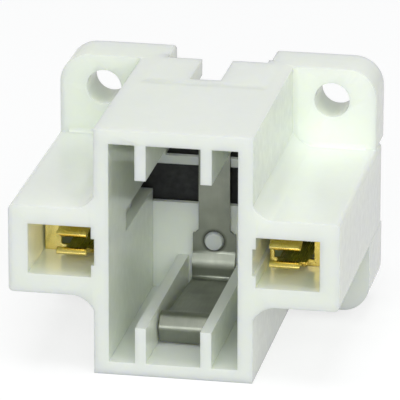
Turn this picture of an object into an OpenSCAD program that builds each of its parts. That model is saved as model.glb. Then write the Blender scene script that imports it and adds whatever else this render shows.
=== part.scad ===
// Two-pin compact fluorescent lamp holder, fixed from the rear with two screws.
// Sizes are in millimetres. X points right and Z up, as seen from the front, and the front faces -Y.
// The origin lies on the rear fixing face, midway between the two fixing holes.
// Each piece is drawn with y = 0 at the front face and z = 0 at the pin axis. place() moves it to the origin.

/* [Main sizes] */
// Front face to the rear fixing face
total_depth = 31.0; // [27:0.1:40]
// Height of the fixing holes over the pin axis
hole_above_pins = 10.2; // [9:0.1:11]
// Width over both ears
overall_width = 35.6; // [33:0.1:42]
// Centre distance of the two lamp pins
pin_spacing = 23.0; // [21.5:0.1:24]

/* [Centre block and lamp well] */
// Width of the centre block at the front face
block_width = 17.1; // [16.6:0.1:17.3]
// Width of the centre block at the flange, less for the mould draft
block_width_back = 16.9; // [16.6:0.1:17.3]
// Top of the centre block over the pin axis
block_top = 13.8; // [13.3:0.1:15]
// Bottom of the centre block
block_bottom = -13.6; // [-15:0.1:-13.3]
// Width of the lamp well
well_width = 13.9; // [13.5:0.1:14.6]
// Top of the lamp well
well_top = 12.2; // [11.6:0.1:12.8]
// Bottom of the lamp well
well_bottom = -12.2; // [-12.6:0.1:-11.9]
// Wall from the well to the ledge that the rear plate lies on
back_wall = 2.4; // [2:0.1:3]
// Thickness of the four ribs in the well
rib_thickness = 1.2; // [0.8:0.1:1.6]
// Middle of each rib from the centre plane
rib_centre = 3.53; // [3.4:0.01:3.8]
// Lower end of the two upper ribs
rib_top_end = 8.3; // [7:0.1:9.5]
// Upper end of the two lower ribs
rib_bottom_end = -8.2; // [-8.6:0.1:-8]
// Width of the low pad on top of the block
pad_width = 12.7; // [12:0.1:14]
// Length of the pad in front of the flange
pad_length = 8.2; // [7.6:0.1:10]
// Height of the pad
pad_height = 0.25; // [0.1:0.05:0.6]
// Run of the sloped edge around the pad
pad_slope = 0.7; // [0.3:0.1:1]
// Width of the slot in the top wall
notch_width = 3.4; // [2.5:0.1:4.5]
// Length of the slot in front of the flange
notch_length = 7.3; // [5:0.1:7.5]

/* [Ears] */
// Top of the ears
ear_top = 4.8; // [4.6:0.1:5.4]
// Bottom of the ears
ear_bottom = -4.9; // [-5.5:0.1:-4.6]
// Rear end of the ears in front of the fixing face
ear_set_back = 2.7; // [2.2:0.1:3]
// Rounding of the long edges of the ears
ear_edge_radius = 0.5; // [0.2:0.05:0.8]
// Concave corner between the ears and the upper block
ear_top_fillet = 2.4; // [1.5:0.1:3]
// Concave corner between the ears and the lower block
ear_bottom_fillet = 2.6; // [1.5:0.1:3]
// Place of the slot's inner wall, as a share of the way from the well to the pin
slot_inner_share = 0.42; // [0.35:0.01:0.45]
// Place of the slot's outer wall, as a share of the way from the pin to the ear's side
slot_outer_share = 0.667; // [0.62:0.001:0.7]
// Half the height of the pin slots
slot_half_height = 2.8; // [2.7:0.05:3.2]
// Depth of the relief in the slot's inner wall
slot_relief = 0.36; // [0.2:0.02:0.5]
// Half the height of that relief
slot_relief_half_height = 1.5; // [1:0.1:2]

/* [Fixing flange] */
// Thickness of the flange
flange_thickness = 5.4; // [5:0.1:6]
// Set-in of the flange from the side of the ears
flange_inset = 0.2; // [0.1:0.05:0.5]
// Flange edge over the centre of the fixing holes
flange_edge = 3.6; // [3:0.1:4.5]
// Rounding of the two upper flange corners
flange_corner_radius = 3.2; // [2:0.1:4]
// Diameter of the fixing holes
hole_diameter = 3.9; // [3:0.1:4.5]
// Centre of each fixing hole from the side of the ears
hole_side_edge = 5.1; // [4:0.1:6]
// Width of the cut-out in the middle of the flange
cut_out_width = 11.1; // [10:0.1:12]
// Lower edge of the cut-out
cut_out_bottom = 3.2; // [3:0.1:3.6]
// Rounding of the two upper corners of the cut-out
cut_out_radius = 0.5; // [0.3:0.1:1.5]
// Concave corner where the flange meets the block and the ears
flange_fillet = 0.7; // [0.4:0.1:1.2]

/* [Lower terminal body] */
// Set-in of the lower body from the side of the ears
lower_inset = 0.1; // [0.05:0.05:0.4]
// Rear end of the lower body in front of the fixing face
lower_set_back = 1.2; // [0.8:0.1:1.8]
// Depth of the lower body
lower_depth = 8.4; // [8:0.1:10]
// Bottom of the lower body
lower_bottom = -12.5; // [-13:0.1:-12.3]
// Rounding of the two lower corners
lower_corner_radius = 3.0; // [2:0.1:3.6]
// Wall in front of the terminal chambers
terminal_wall = 1.5; // [1.2:0.1:1.8]
// Step from the pin slot to the inner wall of the terminal chamber
terminal_step = 0.74; // [0.5:0.02:1]
// Outer wall of the terminal chamber, as a share of the way from the pin to the ear's side
terminal_outer_share = 0.746; // [0.7:0.001:0.75]
// Bottom of the terminal chambers
terminal_bottom = -10.9; // [-11.2:0.1:-10.6]
// Diameter of the wire entries
wire_hole_diameter = 2.4; // [1.8:0.1:2.6]
// Diameter of the funnel at each wire entry
wire_funnel_diameter = 3.2; // [2.8:0.1:3.8]
// Depth of that funnel
wire_funnel_depth = 0.8; // [0.4:0.1:1.2]

/* [Back wall window] */
// Top of the window, under the cross bar
window_top = 2.25; // [2:0.05:2.5]
// Bottom of the window
window_bottom = -2.2; // [-2.5:0.05:-2]
// Thickness of the cross bar and of the sill under the window
window_lip = 0.8; // [0.6:0.1:1.2]
// Depth of the channel behind the sill, under the window
channel_drop = 0.7; // [0.3:0.1:0.8]
// Length of the slit between the well and each pin slot
side_slit_length = 6.4; // [4:0.1:8]
// Length of the shallow groove in front of that slit
side_groove_length = 8.4; // [3:0.1:8.8]
// Depth of that groove
side_groove_depth = 1.1; // [0.2:0.05:1.2]
// Top of slit and groove
side_slit_top = 1.7; // [1:0.1:1.9]
// Bottom of slit and groove
side_slit_bottom = -0.7; // [-1.2:0.1:-0.3]

/* [Rear insulating plate] */
// Thickness of the rear plate
plate_thickness = 1.5; // [1:0.1:2]
// Ledge that the plate lies on, in front of the fixing face
plate_recess_depth = 4.4; // [4:0.1:4.8]
// Side of the recess, as a share of the way from the pin to the ear's side
plate_recess_share = 0.778; // [0.76:0.001:0.82]
// Top of the recess
plate_recess_top = 4.3; // [4.1:0.05:4.5]
// Bottom of the recess
plate_recess_bottom = -11.0; // [-11.4:0.1:-10.8]
// Rounding of the corners of the recess
plate_corner_radius = 1.0; // [0.5:0.1:2]
// Gap around the edge of the plate
plate_clearance = 0.12; // [0.05:0.01:0.2]
// Diameter of the two heat stakes
stake_diameter = 2.0; // [1.6:0.1:2.4]
// Gap around each stake
stake_clearance = 0.05; // [0.02:0.01:0.1]
// Diameter of the formed stake heads
stake_head_diameter = 3.2; // [2.8:0.1:3.6]
// Height of the formed stake heads
stake_head_height = 0.8; // [0.5:0.1:1]
// Height of the upper stake
stake_upper_z = -4.3; // [-5:0.1:-4.2]
// Height of the lower stake
stake_lower_z = -9.3; // [-9.4:0.1:-8.5]

/* [Pin contacts] */
// Thickness of the contact sheet
contact_sheet = 0.45; // [0.4:0.01:0.5]
// Width of the two jaws
jaw_width = 3.3; // [2.6:0.1:3.8]
// Front face to the tips of the jaws
jaw_tip = 2.45; // [1:0.05:3]
// Length of the flared lead-in of the jaws
jaw_lead_in = 0.4; // [0.3:0.05:1.2]
// Length of the jaws behind the lead-in
jaw_arm = 5.15; // [4:0.05:7]
// Distance between the middles of the sheet at the tips
jaw_tip_gap = 2.4; // [2.2:0.05:2.8]
// Open gap between the jaws where they grip
jaw_throat_gap = 1.1; // [0.6:0.05:1.2]
// Gap from the contact's back wall to the side walls of the slot
contact_side_gap = 0.12; // [0.05:0.01:0.3]
// Gap over the contact's back wall
contact_top_gap = 0.25; // [0.1:0.05:0.6]
// Bar of the back wall outside the opening for the pin
contact_outer_bar = 1.8; // [1.5:0.1:2.6]
// Bar of the back wall inside that opening
contact_inner_bar = 0.5; // [0.4:0.1:0.8]
// Bar of the back wall over that opening, and under it
contact_end_bar = 0.45; // [0.4:0.05:0.8]
// Gap from the sides of the terminal blade to its chamber
tail_side_gap = 0.6; // [0.3:0.1:0.9]
// Gap from the terminal blade to the rear plate
tail_back_gap = 0.7; // [0.5:0.1:0.9]
// Lower end of the terminal blade
tail_end_z = -10.2; // [-10.5:0.1:-9]

/* [Wire clamp springs] */
// Thickness of the clamp springs
clamp_sheet = 0.3; // [0.2:0.05:0.4]
// Gap from the sides of a clamp spring to its chamber
clamp_side_gap = 1.2; // [0.9:0.1:1.6]
// Height of the upper bend
clamp_top_z = -3.6; // [-4.2:0.1:-3.5]
// Height of the clamping edge
clamp_tip_z = -7.2; // [-8:0.1:-6.5]
// Gap from the clamping edge to the terminal blade
clamp_tip_gap = 0.1; // [0.05:0.05:0.4]

/* [Retention spring] */
// Thickness of the spring strip
spring_sheet = 0.4; // [0.3:0.05:0.5]
// Width of the fixed tab and of the blade
spring_tab_width = 4.8; // [4.4:0.1:5.2]
// Width of the upper strip
spring_strip_width = 3.5; // [2.5:0.1:4]
// Top of the upper strip
spring_strip_top = 9.6; // [7:0.1:11]
// Top of the fixed tab
spring_tab_top = -5.0; // [-5.2:0.1:-4]
// Width of the catch at the front of the blade
spring_lip_width = 5.4; // [5.2:0.1:5.6]
// Height at which the tab leaves the wall
tab_end_z = -7.65; // [-7.8:0.05:-7.4]
// Step of the tab away from the wall
tab_step = 0.62; // [0.4:0.02:1.2]
// Height at which that step ends
tab_step_z = -8.85; // [-9.1:0.05:-8.4]
// Undercut below that step, back towards the wall
tab_undercut = 0.2; // [0:0.05:0.4]
// Height of the blade at its rear bend
blade_back_z = -10.85; // [-11.1:0.05:-10]
// Front end of the blade from the front face
blade_front_y = 9.2; // [8.6:0.1:11]
// Height of the blade at its front end
blade_front_z = -9.7; // [-9.9:0.05:-9.2]
// Crest of the catch from the front face
lip_crest_y = 7.2; // [6.9:0.1:7.8]
// Height of the crest
lip_crest_z = -8.75; // [-9.1:0.05:-8.6]
// Front fold of the catch from the front face
lip_apex_y = 5.9; // [5.6:0.1:6.2]
// Height of the front fold
lip_apex_z = -10.15; // [-10.5:0.05:-10]
// Free end of the catch from the front face
lip_end_y = 6.7; // [6.4:0.1:7]
// Height of the free end
lip_end_z = -11.9; // [-11.95:0.05:-11.4]
// Height of the stud that holds the tab
stud_z = -6.3; // [-6.5:0.05:-6.1]
// Diameter of the stud
stud_diameter = 1.8; // [1.4:0.1:2]
// Gap around the stud
stud_clearance = 0.1; // [0.05:0.05:0.2]
// Diameter of the stud head
stud_head_diameter = 2.2; // [2.1:0.1:2.8]
// Height of the stud head
stud_head_height = 0.5; // [0.3:0.1:0.8]

/* [Hidden] */
$fn = 64;
eps = 0.01;

half_width = overall_width / 2;
pin_x = pin_spacing / 2;
side_room = half_width - pin_x;
flange_front = total_depth - flange_thickness;
flange_half = half_width - flange_inset;
flange_top = hole_above_pins + flange_edge;
hole_spacing = overall_width - 2 * hole_side_edge;
ear_back = total_depth - ear_set_back;
lower_half = half_width - lower_inset;
lower_back = total_depth - lower_set_back;
lower_front = lower_back - lower_depth;
plate_seat = total_depth - plate_recess_depth;
plate_recess_half = pin_x + side_room * plate_recess_share;
well_depth = plate_seat - back_wall;
slit_front = well_depth - side_slit_length;
slot_inner = well_width / 2 + (pin_x - well_width / 2) * slot_inner_share;
slot_outer = pin_x + side_room * slot_outer_share;
terminal_front = lower_front + terminal_wall;
terminal_inner = slot_inner + terminal_step;
terminal_outer = pin_x + side_room * terminal_outer_share;
terminal_width = terminal_outer - terminal_inner;
jaw_throat = jaw_tip + jaw_lead_in;
contact_wall = jaw_throat + jaw_arm;
tail_back_face = plate_seat - tail_back_gap;
tail_front_face = tail_back_face - contact_sheet;
tail_width = terminal_width - 2 * tail_side_gap;
clamp_width = terminal_width - 2 * clamp_side_gap;
wire_x = (terminal_inner + terminal_outer) / 2;
// each wire runs down the front of the terminal blade
wire_y = tail_front_face - wire_hole_diameter / 2 + 0.2;

// Moves a piece from front face and pin axis to the fixing origin.
module place() translate([0, -total_depth, -hole_above_pins]) children();

// A box given by its lowest and highest corners.
module span(low, high) translate(low) cube(high - low);

// A box on the right (s = 1) or left (s = -1), given by its inner and outer side.
module side_span(s, x0, x1, low, high)
    span([min(s * x0, s * x1), low[0], low[1]], [max(s * x0, s * x1), high[0], high[1]]);

// A round bar along Y, from y0 to y1.
module rod_y(d, x, z, y0, y1)
    translate([x, y0, z]) rotate([-90, 0, 0]) cylinder(d = d, h = y1 - y0);

// A box with its four edges along Y rounded.
module rounded_y(low, high, r) {
    span([low.x + r, low.y, low.z], [high.x - r, high.y, high.z]);
    span([low.x, low.y, low.z + r], [high.x, high.y, high.z - r]);
    for (x = [low.x + r, high.x - r], z = [low.z + r, high.z - r])
        rod_y(2 * r, x, z, low.y, high.y);
}

// What lies between a corner and an arc that touches both of its sides, as a bar of the
// given length along Z. The corner is at the origin and opens to +X and +Y.
module corner_bar(r, length)
    difference() {
        cube([r, r, length]);
        translate([r, r, -1]) cylinder(r = r, h = length + 2);
    }

// The same bar along Y. It opens to +X where side is 1, and to +Z where up is 1.
module corner_y(x, z, r, side, up, y0, y1)
    translate([x, y1, z]) scale([side, 1, up]) rotate([90, 0, 0]) corner_bar(r, y1 - y0);

// Outline of a sheet of thickness t that follows a path of points.
function unit(v) = v / norm(v);
function side_of(a, b) = let (d = unit(b - a)) [-d.y, d.x];
function mitre(p, i) =
    i == 0 ? side_of(p[0], p[1]) :
    i == len(p) - 1 ? side_of(p[i - 1], p[i]) :
    let (a = side_of(p[i - 1], p[i]), b = side_of(p[i], p[i + 1])) (a + b) / (1 + a * b);
function sheet_outline(p, t) = concat(
    [for (i = [0 : len(p) - 1]) p[i] + mitre(p, i) * t / 2],
    [for (i = [len(p) - 1 : -1 : 0]) p[i] - mitre(p, i) * t / 2]);
// The path with each inner corner i rounded over the length r[i] on both sides of it.
function eased(p, r, n = 6) =
    [for (i = [0 : len(p) - 1])
        each i == 0 || i == len(p) - 1 ? [p[i]] :
        let (a = p[i] + unit(p[i - 1] - p[i]) * r[i], b = p[i] + unit(p[i + 1] - p[i]) * r[i])
        [for (k = [0 : n]) let (t = k / n) (1 - t) * (1 - t) * a + 2 * t * (1 - t) * p[i] + t * t * b]];
function bend(c, r, from, to, steps = 8) =
    [for (i = [0 : steps]) let (a = from + (to - from) * i / steps) c + r * [cos(a), sin(a)]];

// A folded sheet: the path lies in the Y-Z plane, and the sheet is wide along X.
module sheet_yz(path, t, width, x = 0)
    translate([x - width / 2, 0, 0]) rotate([90, 0, 90])
        linear_extrude(width) polygon(sheet_outline(path, t));

// Housing: centre block, ears, flange and lower body in one moulding.

module block_solid()
    translate([0, 0, block_bottom]) linear_extrude(block_top - block_bottom)
        polygon([[-block_width / 2, 0], [block_width / 2, 0],
                 [block_width_back / 2, flange_front + 1], [-block_width_back / 2, flange_front + 1]]);

// The pad rises along a slope at its front and at both sides.
module pad() {
    half = pad_width / 2;
    front = flange_front - pad_length;
    rear = flange_front + 1;
    translate([0, 0, block_top]) intersection() {
        translate([-block_width / 2, 0, 0]) rotate([90, 0, 90]) linear_extrude(block_width)
            polygon([[front - pad_slope, -0.2], [front - pad_slope, 0], [front, pad_height], [rear, pad_height],
                     [rear, -0.2]]);
        translate([0, rear, 0]) rotate([90, 0, 0]) linear_extrude(pad_length + 3)
            polygon([[-half - pad_slope, -0.2], [-half - pad_slope, 0], [-half, pad_height], [half, pad_height],
                     [half + pad_slope, 0], [half + pad_slope, -0.2]]);
    }
}

module ears() {
    half = block_width_back / 2 - 0.2;
    rounded_y([-half_width, 0, ear_bottom], [half_width, ear_back, ear_top], ear_edge_radius);
    for (s = [-1, 1]) {
        corner_y(s * half, ear_top - eps, ear_top_fillet + 0.3, s, 1, 0, flange_front + 1);
        corner_y(s * half, ear_bottom + eps, ear_bottom_fillet + 0.3, s, -1, 0, lower_front + 1);
    }
}

module flange() {
    difference() {
        rounded_y([-flange_half, flange_front, ear_top - flange_corner_radius],
                  [flange_half, total_depth, flange_top], flange_corner_radius);
        // behind the plate recess the flange stops level with the top of the ears
        span([-half_width - 1, ear_back, ear_bottom], [half_width + 1, total_depth + 1, ear_top]);
        span([-half_width - 1, flange_front - 1, ear_bottom], [half_width + 1, ear_back + 1, ear_top - 1]);
    }
    for (s = [-1, 1])
        translate([s * (block_width_back / 2 - 0.02), flange_front + eps, ear_top - 1]) scale([s, -1, 1])
            corner_bar(flange_fillet, block_top - ear_top + 1);
    translate([-flange_half + 1, flange_front + eps, ear_top - 0.02]) rotate([90, 0, 90])
        scale([-1, 1, 1]) corner_bar(flange_fillet, 2 * flange_half - 2);
}

module lower_body()
    difference() {
        rounded_y([-lower_half, lower_front, lower_bottom], [lower_half, lower_back, ear_bottom + lower_corner_radius],
                  lower_corner_radius);
        span([-half_width - 1, lower_front - 1, ear_bottom + 0.1], [half_width + 1, lower_back + 1, ear_top]);
    }

module rib(s, z0, z1)
    span([s * rib_centre - rib_thickness / 2, 0, z0], [s * rib_centre + rib_thickness / 2, well_depth + 0.2, z1]);

module well_cuts() {
    rear = total_depth + 1;
    half_cut = cut_out_width / 2;
    span([-well_width / 2, -1, well_bottom], [well_width / 2, well_depth, well_top]);
    // slot in the top wall, open to the rear
    span([-notch_width / 2, flange_front - notch_length, well_top - 1], [notch_width / 2, rear, block_top + 2]);
    // cut-out of the flange, and the open upper part of the back wall
    span([-half_cut, flange_front, cut_out_bottom], [half_cut, rear, flange_top + 2]);
    span([-half_cut, well_depth - 1, cut_out_bottom], [half_cut, flange_front + 1, well_top]);
    for (s = [-1, 1])
        corner_y(s * (half_cut - eps), flange_top + eps, cut_out_radius, s, -1, flange_front, rear);
    // window, and the channel behind it that joins the two contact chambers
    span([-slot_outer, well_depth - eps, window_bottom], [slot_outer, plate_seat + 1, window_top]);
    span([-slot_inner - eps, well_depth + window_lip, window_bottom - channel_drop],
         [slot_inner + eps, plate_seat + 1, cut_out_bottom + eps]);
}

module side_cuts(s) {
    // contact chamber, from the pin slot to the rear
    side_span(s, slot_inner, slot_outer, [-1, -slot_half_height], [plate_seat + 1, slot_half_height]);
    side_span(s, slot_inner - slot_relief, slot_outer,
              [-1, -slot_relief_half_height], [well_depth, slot_relief_half_height]);
    // slit between well and contact chamber, and the groove in front of it
    side_span(s, well_width / 2 - 1, slot_inner + 1,
              [slit_front, side_slit_bottom], [well_depth + 1, side_slit_top]);
    side_span(s, well_width / 2 - 1, well_width / 2 + side_groove_depth,
              [slit_front - side_groove_length, side_slit_bottom], [slit_front + 1, side_slit_top]);
    // terminal chamber
    side_span(s, terminal_inner, terminal_outer,
              [terminal_front, terminal_bottom], [plate_seat + 1, 1 - slot_half_height]);
    // wire entry from below
    translate([s * wire_x, wire_y, lower_bottom - 1]) cylinder(d = wire_hole_diameter, h = 4);
    translate([s * wire_x, wire_y, lower_bottom - eps])
        cylinder(d1 = wire_funnel_diameter, d2 = wire_hole_diameter, h = wire_funnel_depth);
    // fixing hole
    rod_y(hole_diameter, s * hole_spacing / 2, hole_above_pins, flange_front - 2, total_depth + 1);
}

// A moulded peg with its end formed into a head.
module stud()
    translate([0, well_depth, stud_z]) rotate([90, 0, 0]) {
        translate([0, 0, -0.5]) cylinder(d = stud_diameter, h = spring_sheet + 0.5 + eps);
        translate([0, 0, spring_sheet])
            cylinder(d1 = stud_head_diameter, d2 = stud_head_diameter - 0.4, h = stud_head_height);
    }

module stakes()
    for (z = [stake_upper_z, stake_lower_z])
        translate([0, plate_seat, z]) rotate([-90, 0, 0]) {
            translate([0, 0, -0.5]) cylinder(d = stake_diameter, h = plate_thickness + 0.5 + eps);
            translate([0, 0, plate_thickness])
                cylinder(d1 = stake_head_diameter, d2 = stake_head_diameter - 0.9, h = stake_head_height);
        }

module housing() color([0.93, 0.94, 0.92]) place() {
    difference() {
        union() {
            block_solid();
            pad();
            ears();
            flange();
            lower_body();
            // wall behind the well, that the spring and the rear plate are fixed to
            span([-terminal_inner - 0.4, well_depth - 1, lower_bottom + 1],
                 [terminal_inner + 0.4, plate_seat, window_bottom - eps]);
        }
        well_cuts();
        // recess for the rear plate
        rounded_y([-plate_recess_half, plate_seat, plate_recess_bottom],
                  [plate_recess_half, total_depth + 1, plate_recess_top], plate_corner_radius);
        for (s = [-1, 1]) side_cuts(s);
    }
    for (s = [-1, 1]) {
        rib(s, rib_top_end, well_top + 0.2);
        rib(s, well_bottom - 0.2, rib_bottom_end);
    }
    stud();
    stakes();
}

// Rear insulating plate.

module rear_plate() color([0.07, 0.07, 0.07]) place()
    difference() {
        rounded_y([-plate_recess_half + plate_clearance, plate_seat, plate_recess_bottom + plate_clearance],
                  [plate_recess_half - plate_clearance, plate_seat + plate_thickness,
                   plate_recess_top - plate_clearance], plate_corner_radius - plate_clearance);
        for (z = [stake_upper_z, stake_lower_z])
            rod_y(stake_diameter + 2 * stake_clearance, 0, z, plate_seat - 1, plate_seat + plate_thickness + 1);
    }

// Pin contacts: two jaws on a back wall, and a tail that ends in the terminal blade.

function jaw_path(up) = let (grip = (jaw_throat_gap + contact_sheet) / 2,
                             root = slot_half_height - contact_top_gap - contact_sheet / 2)
    eased([[jaw_tip, up * jaw_tip_gap / 2], [jaw_throat, up * grip], [contact_wall - 1, up * root],
           [contact_wall + contact_sheet / 2, up * root]], [0, 0.25, 0.25, 0]);

module contact(s) {
    x = s * pin_x;
    floor_z = -slot_half_height + contact_sheet / 2;
    for (up = [-1, 1]) sheet_yz(jaw_path(up), contact_sheet, jaw_width, x);
    difference() {
        side_span(s, slot_inner + contact_side_gap, slot_outer - contact_side_gap,
                  [contact_wall, -slot_half_height],
                  [contact_wall + contact_sheet, slot_half_height - contact_top_gap]);
        side_span(s, slot_inner + contact_side_gap + contact_inner_bar,
                  slot_outer - contact_side_gap - contact_outer_bar,
                  [contact_wall - 1, -slot_half_height + contact_end_bar + contact_top_gap],
                  [contact_wall + 1, slot_half_height - contact_top_gap - contact_end_bar]);
    }
    // tail along the chamber floor and down to the terminal
    sheet_yz([[contact_wall + contact_sheet / 2, floor_z], [tail_back_face, floor_z]], contact_sheet, jaw_width, x);
    side_span(s, wire_x - tail_width / 2, wire_x + tail_width / 2,
              [tail_front_face, tail_end_z], [tail_back_face, -slot_half_height + contact_sheet]);
}

module contact_left() color([0.86, 0.72, 0.36]) place() contact(-1);
module contact_right() color([0.86, 0.72, 0.36]) place() contact(1);

// Wire clamp springs: a foot on the front wall, a bend at the top and a slanted clamping leg.

module clamp_spring(s) {
    base_y = terminal_front + clamp_sheet / 2;
    r = 0.5;
    sheet_yz(concat([[base_y, terminal_bottom + 0.4]],
                    bend([base_y + r, clamp_top_z], r, 180, 20),
                    [[tail_front_face - clamp_tip_gap - 0.2, clamp_tip_z]]),
             clamp_sheet, clamp_width, s * wire_x);
}

module clamp_spring_left() color([0.72, 0.74, 0.74]) place() clamp_spring(-1);
module clamp_spring_right() color([0.72, 0.74, 0.74]) place() clamp_spring(1);

// Retention spring: an upper strip, a studded tab, a blade along the well floor and a catch.

module retention_spring() color([0.72, 0.74, 0.74]) place() {
    y = well_depth - spring_sheet / 2;
    difference() {
        union() {
            sheet_yz(eased([[y, spring_tab_top - 0.5], [y, tab_end_z], [y - tab_step, tab_step_z],
                            [y - tab_step + tab_undercut, blade_back_z + 0.4], [y - tab_step - 0.3, blade_back_z],
                            [blade_front_y, blade_front_z]], [0, 0.28, 0.55, 0.3, 0.3, 0]),
                     spring_sheet, spring_tab_width);
            // rounded shoulders from the tab to the strip
            for (s = [-1, 1])
                rod_y(2.4, s * (spring_tab_width / 2 - 1.2), spring_tab_top - 1.2, well_depth - spring_sheet, well_depth);
            span([-spring_tab_width / 2 + 1.2, well_depth - spring_sheet, spring_tab_top - 1.2],
                 [spring_tab_width / 2 - 1.2, well_depth, spring_tab_top]);
            span([-spring_tab_width / 2, well_depth - spring_sheet, spring_tab_top - 2],
                 [spring_tab_width / 2, well_depth, spring_tab_top - 1.2]);
        }
        rod_y(stud_diameter + 2 * stud_clearance, 0, stud_z, well_depth - 1.5, well_depth + 1);
    }
    // upper strip
    span([-spring_strip_width / 2, well_depth - spring_sheet, spring_tab_top - 0.3],
         [spring_strip_width / 2, well_depth, spring_strip_top - spring_strip_width / 2]);
    rod_y(spring_strip_width, 0, spring_strip_top - spring_strip_width / 2, well_depth - spring_sheet, well_depth);
    // catch at the front
    sheet_yz(eased([[blade_front_y + 0.4, blade_front_z - 0.02], [blade_front_y, blade_front_z],
                    [lip_crest_y, lip_crest_z], [lip_apex_y, lip_apex_z], [lip_end_y, lip_end_z]],
                   [0, 0.2, 0.85, 0.3, 0]),
             spring_sheet, spring_lip_width);
}

housing();
rear_plate();
contact_left();
contact_right();
clamp_spring_left();
clamp_spring_right();
retention_spring();
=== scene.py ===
"""Look of the lamp holder: bevelled skins on the CAD pieces, materials, light and camera."""
import math

import bmesh
import bpy
from mathutils import Matrix, Vector

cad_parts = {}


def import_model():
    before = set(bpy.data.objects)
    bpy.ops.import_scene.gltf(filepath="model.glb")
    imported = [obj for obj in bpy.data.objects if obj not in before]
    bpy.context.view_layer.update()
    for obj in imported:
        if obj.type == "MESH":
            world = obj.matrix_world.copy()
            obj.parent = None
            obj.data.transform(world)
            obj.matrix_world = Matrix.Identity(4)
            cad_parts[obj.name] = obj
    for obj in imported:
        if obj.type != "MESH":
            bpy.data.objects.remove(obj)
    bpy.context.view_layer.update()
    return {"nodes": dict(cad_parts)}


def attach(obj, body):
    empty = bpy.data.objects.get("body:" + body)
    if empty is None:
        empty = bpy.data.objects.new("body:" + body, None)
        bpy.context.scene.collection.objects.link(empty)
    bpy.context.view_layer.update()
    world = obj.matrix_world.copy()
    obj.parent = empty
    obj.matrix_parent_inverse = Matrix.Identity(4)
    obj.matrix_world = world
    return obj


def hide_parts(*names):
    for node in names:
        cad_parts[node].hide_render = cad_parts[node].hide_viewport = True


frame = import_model()
scene = bpy.context.scene

MM = 0.001
FRONT = -31.0 * MM           # the front face, in the part's own frame
PIN_Z = -10.2 * MM           # height of the pin axis
STUD_Z = PIN_Z - 6.3 * MM    # height of the stud that holds the retention spring
BOTTOM = PIN_Z - 13.63 * MM  # what the holder stands on, just clear of its underside

# Each material varies between two colours
PLASTIC_COLOURS = (0.86, 0.915, 0.81), (0.885, 0.935, 0.845)
# The rear plate's near-black colours are painted shade for the closed space behind the openings
SHADE_SHEET_COLOURS = (0.010, 0.011, 0.012), (0.024, 0.025, 0.026)
BRASS_COLOURS = (0.76, 0.58, 0.13), (0.90, 0.74, 0.28)
STEEL_COLOURS = (0.22, 0.235, 0.20), (0.305, 0.32, 0.27)

# The painted shade round the stud head, in place of its shadow on the spring: its colour, how much of it
# shows, and where it starts to fade and ends
STUD_SHADE_COLOUR = (0.05, 0.052, 0.042)
STUD_SHADE_SHARE = 0.75
STUD_SHADE_FADE = 1.2 * MM
STUD_SHADE_END = 1.5 * MM

# Width of the rounded edges
HOUSING_EDGE = 0.22 * MM
PLATE_EDGE = 0.12 * MM
CONTACT_EDGE = 0.06 * MM
CLAMP_EDGE = 0.04 * MM
SPRING_EDGE = 0.06 * MM

SHARP_ANGLE = math.radians(28)  # edges that turn more than this are rounded
FLAT_ANGLE = math.radians(0.6)  # faces of a folded strip that turn less than this become one
SAME_PLACE = 0.002 * MM         # points closer than this become one

# The floor: metres from its middle to its sides, its grey as it lights the holder, and its grey and its
# own light as it is seen
FLOOR_HALF = 3.0
FLOOR_PLAIN = 0.55
FLOOR_SEEN = 0.34
FLOOR_GLOW = 0.74

# The studio: the world as it lights the holder and as it is seen, and square lamps, in metres, that point
# at the middle of the holder
WORLD_LIGHT = 0.12
WORLD_SEEN = 1.0
LAMP_COLOUR = (0.98, 1, 1.01)
LAMP_SIDE = 0.45
LAMP_AIM = (0, -0.015, -0.01)

# The camera: its sensor in millimetres, the width of the photograph, and where it starts to see
SENSOR_WIDTH = 36.0
PHOTO_WIDTH_PX = 400
NEAREST_SEEN = 10 * MM


def empty_material(name):
    """A material with nothing but its output, as the material, its node tree and the surface socket."""
    look = bpy.data.materials.new(name)
    look.use_nodes = True
    tree = look.node_tree
    tree.nodes.clear()
    output = tree.nodes.new("ShaderNodeOutputMaterial")
    return look, tree, output.inputs["Surface"]


def material(name, metallic=0.0):
    """A material with one shader, as the material, its node tree and the shader."""
    look, tree, surface = empty_material(name)
    shader = tree.nodes.new("ShaderNodeBsdfPrincipled")
    shader.inputs["Metallic"].default_value = metallic
    tree.links.new(shader.outputs["BSDF"], surface)
    return look, tree, shader


def coords(tree, scale=(1, 1, 1)):
    """The part's own coordinates, times the scale."""
    source = tree.nodes.new("ShaderNodeTexCoord")
    mapping = tree.nodes.new("ShaderNodeMapping")
    mapping.inputs["Scale"].default_value = scale
    tree.links.new(source.outputs["Object"], mapping.inputs["Vector"])
    return mapping.outputs["Vector"]


def noise(tree, where, scale, detail):
    texture = tree.nodes.new("ShaderNodeTexNoise")
    texture.inputs["Scale"].default_value = scale
    texture.inputs["Detail"].default_value = detail
    tree.links.new(where, texture.inputs["Vector"])
    return texture.outputs["Fac"]


def spread(tree, value, low, high, from_low=0.3, from_high=0.7):
    """Maps from_low to low and from_high to high. Most of a noise lies between 0.3 and 0.7."""
    span = tree.nodes.new("ShaderNodeMapRange")
    span.inputs["From Min"].default_value = from_low
    span.inputs["From Max"].default_value = from_high
    span.inputs["To Min"].default_value = low
    span.inputs["To Max"].default_value = high
    tree.links.new(value, span.inputs["Value"])
    return span.outputs["Result"]


def colour_mix(tree, share):
    """A mix of two colours with its share linked, as the first input, the second and the output."""
    mix = tree.nodes.new("ShaderNodeMix")
    mix.data_type = "RGBA"
    tree.links.new(share, mix.inputs[0])
    return mix.inputs[6], mix.inputs[7], mix.outputs[2]


def two_tone(tree, value, colours):
    """A colour that a noise moves between the two given."""
    first, second, mixed = colour_mix(tree, spread(tree, value, low=0, high=1))
    first.default_value = (*colours[0], 1)
    second.default_value = (*colours[1], 1)
    return mixed


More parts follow.
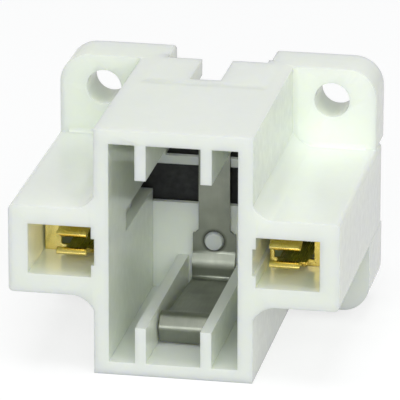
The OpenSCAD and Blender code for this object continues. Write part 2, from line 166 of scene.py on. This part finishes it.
def bump(tree, shader, height, strength, distance, under=None):
    """Makes the shader's surface uneven, on top of the bump given as under."""
    relief = tree.nodes.new("ShaderNodeBump")
    relief.inputs["Strength"].default_value = strength
    relief.inputs["Distance"].default_value = distance
    tree.links.new(height, relief.inputs["Height"])
    if under is not None:
        tree.links.new(under, relief.inputs["Normal"])
    tree.links.new(relief.outputs["Normal"], shader.inputs["Normal"])
    return relief.outputs["Normal"]


def white_plastic():
    """Glossy moulding, a little cloudy and translucent, with a fine and a slow unevenness."""
    look, tree, shader = material("white_plastic")
    where = coords(tree)
    colour = two_tone(tree, noise(tree, where, scale=90, detail=4), PLASTIC_COLOURS)
    tree.links.new(colour, shader.inputs["Base Color"])
    roughness = spread(tree, noise(tree, where, scale=900, detail=3), low=0.12, high=0.22)
    tree.links.new(roughness, shader.inputs["Roughness"])
    fine = bump(tree, shader, noise(tree, where, scale=3500, detail=2), strength=0.04, distance=0.03 * MM)
    slow = noise(tree, where, scale=160, detail=2)
    bump(tree, shader, slow, strength=0.04, distance=0.2 * MM, under=fine)
    shader.inputs["IOR"].default_value = 1.5
    shader.inputs["Subsurface Weight"].default_value = 0.7
    shader.inputs["Subsurface Radius"].default_value = (1.0, 1.0, 0.65)
    shader.inputs["Subsurface Scale"].default_value = 2.0 * MM
    return look


def shade_sheet():
    """Mottled, dull, near-black sheet: painted shade for the closed space behind the openings."""
    look, tree, shader = material("painted_shade_sheet")
    where = coords(tree)
    colour = two_tone(tree, noise(tree, where, scale=700, detail=5), SHADE_SHEET_COLOURS)
    tree.links.new(colour, shader.inputs["Base Color"])
    roughness = spread(tree, noise(tree, where, scale=1600, detail=3), low=0.55, high=0.8)
    tree.links.new(roughness, shader.inputs["Roughness"])
    bump(tree, shader, noise(tree, where, scale=2500, detail=3), strength=0.35, distance=0.04 * MM)
    return look


def grain(tree, shader, stretch, roughness, strength):
    """Rolling grain: a noise drawn out along the strip, in the roughness and as a faint bump."""
    lines = noise(tree, coords(tree, stretch), scale=1.0, detail=3)
    tree.links.new(spread(tree, lines, *roughness), shader.inputs["Roughness"])
    bump(tree, shader, lines, strength, distance=0.02 * MM)


def brass():
    """Rolled contact strip."""
    look, tree, shader = material("contact_brass", metallic=1.0)
    colour = two_tone(tree, noise(tree, coords(tree), scale=500, detail=4), BRASS_COLOURS)
    tree.links.new(colour, shader.inputs["Base Color"])
    grain(tree, shader, stretch=(9000, 250, 9000), roughness=(0.20, 0.30), strength=0.04)
    return look


def stud_shaded(tree, colour, where, stud_z):
    """The colour, with painted shade round the stud where its head shades the spring."""
    flat = tree.nodes.new("ShaderNodeMapping")
    flat.inputs["Location"].default_value = (0, 0, -stud_z)
    flat.inputs["Scale"].default_value = (1, 0, 1)
    tree.links.new(where, flat.inputs["Vector"])
    away = tree.nodes.new("ShaderNodeVectorMath")
    away.operation = "LENGTH"
    tree.links.new(flat.outputs["Vector"], away.inputs[0])
    # Painted shade: darkens the spring round the stud and fades out towards its edge
    share = spread(tree, away.outputs["Value"], STUD_SHADE_SHARE, 0, from_low=STUD_SHADE_FADE, from_high=STUD_SHADE_END)
    unshaded, painted_shade, mixed = colour_mix(tree, share)
    tree.links.new(colour, unshaded)
    painted_shade.default_value = (*STUD_SHADE_COLOUR, 1)
    return mixed


def steel(name="spring_steel", stud_z=None):
    """Rolled spring strip, with painted shade round a stud where one is given."""
    look, tree, shader = material(name, metallic=1.0)
    where = coords(tree)
    colour = two_tone(tree, noise(tree, where, scale=320, detail=4), STEEL_COLOURS)
    if stud_z is not None:
        # Painted shade round the stud head
        colour = stud_shaded(tree, colour, where, stud_z)
    tree.links.new(colour, shader.inputs["Base Color"])
    grain(tree, shader, stretch=(12000, 300, 300), roughness=(0.35, 0.47), strength=0.06)
    return look


def new_object(name, data):
    """An object of the scene that shows the mesh, lamp or camera given."""
    thing = bpy.data.objects.new(name, data)
    scene.collection.objects.link(thing)
    return thing


def skin(node, look, edge, segments=2, folded=False):
    """A copy of a CAD piece with its edges rounded, standing for the piece."""
    mesh = frame["nodes"][node].data.copy()
    piece = new_object(node + "_skin", mesh)
    work = bmesh.new()
    work.from_mesh(mesh)
    bmesh.ops.remove_doubles(work, verts=work.verts, dist=SAME_PLACE)
    if folded:
        bmesh.ops.dissolve_limit(work, angle_limit=FLAT_ANGLE, verts=work.verts, edges=work.edges)
    for face in work.faces:
        face.smooth = True
    work.to_mesh(mesh)
    work.free()
    mesh.materials.clear()
    mesh.materials.append(look)
    bevel = piece.modifiers.new("bevel", "BEVEL")
    bevel.width = edge
    bevel.segments = segments
    bevel.limit_method = "ANGLE"
    bevel.angle_limit = SHARP_ANGLE
    bevel.miter_outer = "MITER_ARC"
    piece.modifiers.new("weighted", "WEIGHTED_NORMAL").mode = "FACE_AREA"
    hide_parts(node)
    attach(piece, "root")


def skins():
    """One skin for each of the seven pieces."""
    white, dark, gold, grey = white_plastic(), shade_sheet(), brass(), steel()
    skin("housing", white, HOUSING_EDGE, segments=3)
    # The rear plate, near-black as painted shade behind the openings
    skin("rear_plate", dark, PLATE_EDGE)
    for side in ("left", "right"):
        skin("contact_" + side, gold, CONTACT_EDGE, folded=True)
        skin("clamp_spring_" + side, grey, CLAMP_EDGE, folded=True)
    skin("retention_spring", steel("spring_steel_studded", STUD_Z), SPRING_EDGE, folded=True)


def seen_rays(tree):
    """One for the rays that show a surface: straight, in a reflection or through something clear."""
    path = tree.nodes.new("ShaderNodeLightPath")
    seen = path.outputs["Is Camera Ray"]
    for kind in ("Is Glossy Ray", "Is Transmission Ray"):
        either = tree.nodes.new("ShaderNodeMath")
        either.operation = "MAXIMUM"
        tree.links.new(seen, either.inputs[0])
        tree.links.new(path.outputs[kind], either.inputs[1])
        seen = either.outputs[0]
    return seen


def diffuse(tree, grey):
    shader = tree.nodes.new("ShaderNodeBsdfDiffuse")
    shader.inputs["Color"].default_value = (grey, grey, grey, 1)
    return shader.outputs[0]


def floor_material():
    """Pale floor that shows white, and still takes the holder's shadow."""
    look, tree, surface = empty_material("floor")
    glow = tree.nodes.new("ShaderNodeEmission")
    glow.inputs["Strength"].default_value = FLOOR_GLOW
    seen = tree.nodes.new("ShaderNodeAddShader")
    tree.links.new(diffuse(tree, FLOOR_SEEN), seen.inputs[0])
    tree.links.new(glow.outputs[0], seen.inputs[1])
    mix = tree.nodes.new("ShaderNodeMixShader")
    tree.links.new(seen_rays(tree), mix.inputs[0])
    tree.links.new(diffuse(tree, FLOOR_PLAIN), mix.inputs[1])
    tree.links.new(seen.outputs[0], mix.inputs[2])
    tree.links.new(mix.outputs[0], surface)
    return look


def floor():
    sides = ((-1, -1), (1, -1), (1, 1), (-1, 1))
    corners = [(x * FLOOR_HALF, y * FLOOR_HALF, BOTTOM) for x, y in sides]
    mesh = bpy.data.meshes.new("floor")
    mesh.from_pydata(corners, [], [(0, 1, 2, 3)])
    mesh.materials.append(floor_material())
    new_object("floor", mesh)


def world():
    """Even light all round, that shows white behind the floor."""
    studio = bpy.data.worlds.new("studio")
    scene.world = studio
    studio.use_nodes = True
    tree = studio.node_tree
    background = tree.nodes["Background"]
    background.inputs["Color"].default_value = (1, 1, 1, 1)
    strength = spread(tree, seen_rays(tree), WORLD_LIGHT, WORLD_SEEN, from_low=0, from_high=1)
    tree.links.new(strength, background.inputs["Strength"])


def lamp(name, place, power):
    """A square lamp with its place in metres and its power in watts."""
    light = bpy.data.lights.new(name, "AREA")
    light.shape = "RECTANGLE"
    light.size = LAMP_SIDE
    light.size_y = LAMP_SIDE
    light.energy = power
    light.color = LAMP_COLOUR
    stand = new_object(name, light)
    stand.location = place
    stand.rotation_euler = (Vector(LAMP_AIM) - Vector(place)).to_track_quat("-Z", "Y").to_euler()


def camera(azimuth, elevation, roll, focal_px, distance, target):
    """Angles in degrees, lengths in millimetres. The target is seen from the pin axis at the front face."""
    turn, tilt, lean = (math.radians(angle) for angle in (azimuth, elevation, roll))
    back = Vector((math.sin(turn) * math.cos(tilt), -math.cos(turn) * math.cos(tilt), math.sin(tilt)))
    level = Vector((math.cos(turn), math.sin(turn), 0))
    steep = back.cross(level)
    right = math.cos(lean) * level + math.sin(lean) * steep
    up = -math.sin(lean) * level + math.cos(lean) * steep
    lens = bpy.data.cameras.new("camera")
    lens.sensor_width = SENSOR_WIDTH
    lens.lens = focal_px / PHOTO_WIDTH_PX * SENSOR_WIDTH
    lens.clip_start = NEAREST_SEEN
    view = new_object("camera", lens)
    place = Vector(target) * MM + Vector((0, FRONT, PIN_Z)) + back * distance * MM
    view.matrix_world = Matrix.Translation(place) @ Matrix((right, up, back)).transposed().to_4x4()
    scene.camera = view


skins()
floor()
world()
lamp("front", place=(0.12, -0.70, 0.25), power=2.7)
lamp("side", place=(0.50, -0.36, 0.46), power=1.2)
lamp("left", place=(-0.30, -0.60, 0.32), power=0.45)
lamp("top", place=(0, -0.08, 0.70), power=2.2)
camera(azimuth=10.69, elevation=18.83, roll=0.09, focal_px=5114.5, distance=550, target=(0.63, 12.0, 2.47))
scene.view_settings.view_transform = "Standard"
